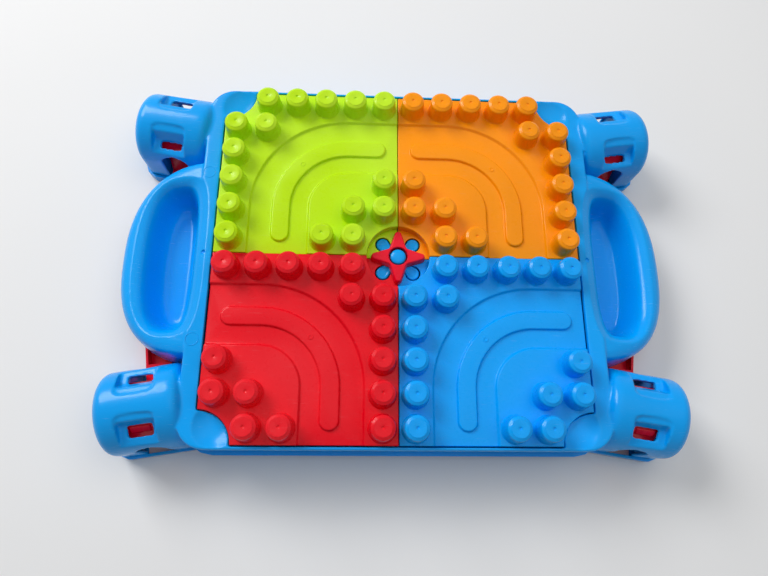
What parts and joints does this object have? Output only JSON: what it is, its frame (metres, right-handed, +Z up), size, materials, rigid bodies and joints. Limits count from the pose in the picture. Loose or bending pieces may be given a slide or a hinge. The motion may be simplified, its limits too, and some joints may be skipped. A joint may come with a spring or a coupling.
{
  "type": "building block table",
  "caption": "Low folding play table with a storage tub, lift-out stud plates in four colours, a star lock, side trays and swing-out legs in corner barrels.",
  "frame": {"origin": "on the floor under the middle of the table, legs folded", "axes": "+X to the right along the long side through the trays, +Y away from the viewer, +Z up"},
  "size_m": [0.5988, 0.41, 0.096],
  "materials": {
    "blue_body": "glossy",
    "red_moulding": "glossy",
    "lime_plate": "glossy",
    "orange_plate": "glossy",
    "red_plate": "glossy",
    "blue_plate": "glossy",
    "plated_steel": "satin"
  },
  "bodies": {
    "table": {"top_frame": "blue_body", "bottom_shell": "blue_body", "lime_plate": "lime_plate", "orange_plate": "orange_plate", "red_plate": "red_plate", "blue_plate": "blue_plate", "knob_spindle": "blue_body", "lock_screw": "plated_steel", "shell_screw_right_1": "plated_steel", "shell_screw_right_2": "plated_steel", "shell_screw_right_3": "plated_steel", "shell_screw_right_4": "plated_steel", "shell_screw_left_1": "plated_steel", "shell_screw_left_2": "plated_steel", "shell_screw_left_3": "plated_steel", "shell_screw_left_4": "plated_steel", "hinge_pin_near_left": "plated_steel", "hinge_pin_near_right": "plated_steel", "hinge_pin_far_left": "plated_steel", "hinge_pin_far_right": "plated_steel"},
    "knob": {"lock_knob": "red_moulding"},
    "leg_body_near_left": {"leg_near_left": "red_moulding"},
    "latch_near_left": {"latch_button_near_left": "red_moulding"},
    "leg_body_near_right": {"leg_near_right": "red_moulding"},
    "latch_near_right": {"latch_button_near_right": "red_moulding"},
    "leg_body_far_left": {"leg_far_left": "red_moulding"},
    "latch_far_left": {"latch_button_far_left": "red_moulding"},
    "leg_body_far_right": {"leg_far_right": "red_moulding"},
    "latch_far_right": {"latch_button_far_right": "red_moulding"}
  },
  "joints": [
    {"name": "knob_turn", "type": "hinge", "parent": "table", "child": "knob", "pos_m": [0, 0, 0.068], "axis": [0, 0, 1], "range_deg": [0, 45]},
    {"name": "leg_fold_near_left", "type": "hinge", "parent": "table", "child": "leg_body_near_left", "pos_m": [-0.245, -0.1562, 0.042], "axis": [-0.9877, -0.1564, 0], "range_deg": [0, 90]},
    {"name": "latch_push_near_left", "type": "slide", "parent": "leg_body_near_left", "child": "latch_near_left", "axis": [-0.1106, 0.6984, -0.7071], "range_m": [0, 0.004], "stiffness_N_per_m": 250, "springref_m": -0.002},
    {"name": "leg_fold_near_right", "type": "hinge", "parent": "table", "child": "leg_body_near_right", "pos_m": [0.245, -0.1562, 0.042], "axis": [-0.9877, 0.1564, 0], "range_deg": [0, 90]},
    {"name": "latch_push_near_right", "type": "slide", "parent": "leg_body_near_right", "child": "latch_near_right", "axis": [0.1106, 0.6984, -0.7071], "range_m": [0, 0.004], "stiffness_N_per_m": 250, "springref_m": -0.002},
    {"name": "leg_fold_far_left", "type": "hinge", "parent": "table", "child": "leg_body_far_left", "pos_m": [-0.245, 0.1562, 0.042], "axis": [0.9877, -0.1564, 0], "range_deg": [0, 90]},
    {"name": "latch_push_far_left", "type": "slide", "parent": "leg_body_far_left", "child": "latch_far_left", "axis": [-0.1106, -0.6984, -0.7071], "range_m": [0, 0.004], "stiffness_N_per_m": 250, "springref_m": -0.002},
    {"name": "leg_fold_far_right", "type": "hinge", "parent": "table", "child": "leg_body_far_right", "pos_m": [0.245, 0.1562, 0.042], "axis": [0.9877, 0.1564, 0], "range_deg": [0, 90]},
    {"name": "latch_push_far_right", "type": "slide", "parent": "leg_body_far_right", "child": "latch_far_right", "axis": [0.1106, -0.6984, -0.7071], "range_m": [0, 0.004], "stiffness_N_per_m": 250, "springref_m": -0.002}
  ]
}
